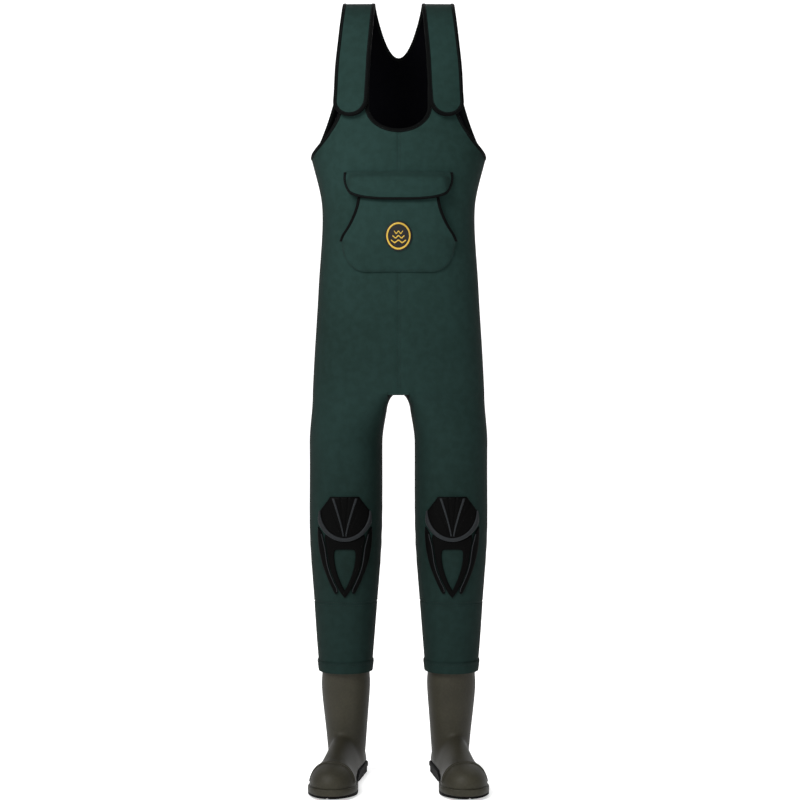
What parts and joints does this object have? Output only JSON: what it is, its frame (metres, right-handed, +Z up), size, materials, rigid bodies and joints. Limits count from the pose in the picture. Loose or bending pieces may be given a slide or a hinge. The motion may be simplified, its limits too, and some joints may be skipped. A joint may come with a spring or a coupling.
{
  "type": "chest waders",
  "caption": "Bootfoot neoprene chest waders with shoulder straps, a bib with hand-warmer pocket and flap, padded knees and bonded rubber boots.",
  "frame": {"origin": "on the floor plane, under the middle of the whole object", "axes": "+Z up from the soles to the shoulders, the front faces -Y, the wearer's left is +X"},
  "size_m": [0.369, 0.3352, 1.6028],
  "materials": {
    "neoprene_body": "matt knitted face on foam, dark blue-green",
    "neoprene_leg": "matt knitted face on foam, dark green",
    "binding_tape": "folded black stretch tape, stitched",
    "hook_and_loop": "black hook and loop tape",
    "knee_pad": "moulded black rubber-faced pad, matt",
    "knee_piping": "dark grey rubber cord, satin",
    "boot_rubber": "olive-brown boot rubber, semi-matt",
    "sole_rubber": "black sole rubber, matt",
    "insole_foam": "dark felt over foam",
    "badge_thread": "gold embroidery thread on black twill"
  },
  "bodies": {
    "torso": {"bib_front_left": "neoprene_body", "bib_front_right": "neoprene_body", "back_panel_left": "neoprene_body", "back_panel_right": "neoprene_body", "armhole_binding_left": "binding_tape", "armhole_binding_right": "binding_tape", "neck_binding": "binding_tape", "back_neck_binding": "binding_tape", "crotch_gusset": "neoprene_body", "strap_loop_tape_left": "hook_and_loop", "strap_loop_tape_right": "hook_and_loop", "pocket_pouch": "neoprene_body", "pocket_opening_binding_left": "binding_tape", "pocket_opening_binding_right": "binding_tape", "pocket_loop_tape": "hook_and_loop", "chest_badge": "badge_thread"},
    "thigh_left": {"thigh_front_left": "neoprene_leg", "thigh_back_left": "neoprene_leg", "knee_cap_left": "knee_pad", "knee_piping_left": "knee_piping", "hip_band_left": "neoprene_leg"},
    "shin_left": {"shin_front_left": "neoprene_leg", "shin_back_left": "neoprene_leg", "knee_band_left": "neoprene_leg", "knee_guard_left": "knee_pad", "knee_blade_outer_left": "knee_pad", "knee_blade_inner_left": "knee_pad", "leg_hem_left": "neoprene_leg", "boot_upper_left": "boot_rubber", "boot_outsole_left": "sole_rubber", "boot_heel_left": "sole_rubber", "boot_insole_left": "insole_foam"},
    "body_strap_left": {"strap_left": "neoprene_body", "strap_binding_left": "binding_tape", "strap_hook_tape_left": "hook_and_loop"},
    "thigh_right": {"thigh_front_right": "neoprene_leg", "thigh_back_right": "neoprene_leg", "knee_cap_right": "knee_pad", "knee_piping_right": "knee_piping", "hip_band_right": "neoprene_leg"},
    "shin_right": {"shin_front_right": "neoprene_leg", "shin_back_right": "neoprene_leg", "knee_band_right": "neoprene_leg", "knee_guard_right": "knee_pad", "knee_blade_outer_right": "knee_pad", "knee_blade_inner_right": "knee_pad", "leg_hem_right": "neoprene_leg", "boot_upper_right": "boot_rubber", "boot_outsole_right": "sole_rubber", "boot_heel_right": "sole_rubber", "boot_insole_right": "insole_foam"},
    "body_strap_right": {"strap_right": "neoprene_body", "strap_binding_right": "binding_tape", "strap_hook_tape_right": "hook_and_loop"},
    "flap": {"pocket_flap": "neoprene_body", "flap_binding": "binding_tape", "flap_hook_tape": "hook_and_loop"}
  },
  "joints": [
    {"name": "hip_left", "type": "hinge", "parent": "torso", "child": "thigh_left", "pos_m": [0.109, 0.04857, 0.745], "axis": [-1, 0, 0], "range_deg": [-20, 60], "deforming": ["hip_band_left"]},
    {"name": "knee_left", "type": "hinge", "parent": "thigh_left", "child": "shin_left", "pos_m": [0.109, 0.04857, 0.5], "axis": [1, 0, 0], "range_deg": [0, 100], "deforming": ["knee_band_left"]},
    {"name": "strap_fold_left", "type": "hinge", "parent": "torso", "child": "body_strap_left", "pos_m": [0.0815, 0.05857, 1.603], "axis": [-1, 0, 0], "range_deg": [0, 150]},
    {"name": "hip_right", "type": "hinge", "parent": "torso", "child": "thigh_right", "pos_m": [-0.109, 0.04857, 0.745], "axis": [-1, 0, 0], "range_deg": [-20, 60], "deforming": ["hip_band_right"]},
    {"name": "knee_right", "type": "hinge", "parent": "thigh_right", "child": "shin_right", "pos_m": [-0.109, 0.04857, 0.5], "axis": [1, 0, 0], "range_deg": [0, 100], "deforming": ["knee_band_right"]},
    {"name": "strap_fold_right", "type": "hinge", "parent": "torso", "child": "body_strap_right", "pos_m": [-0.0815, 0.05857, 1.603], "axis": [-1, 0, 0], "range_deg": [0, 150]},
    {"name": "flap_fold", "type": "hinge", "parent": "torso", "child": "flap", "pos_m": [0, -0.06738, 1.238], "axis": [-1, 0, 0], "range_deg": [0, 150]}
  ]
}
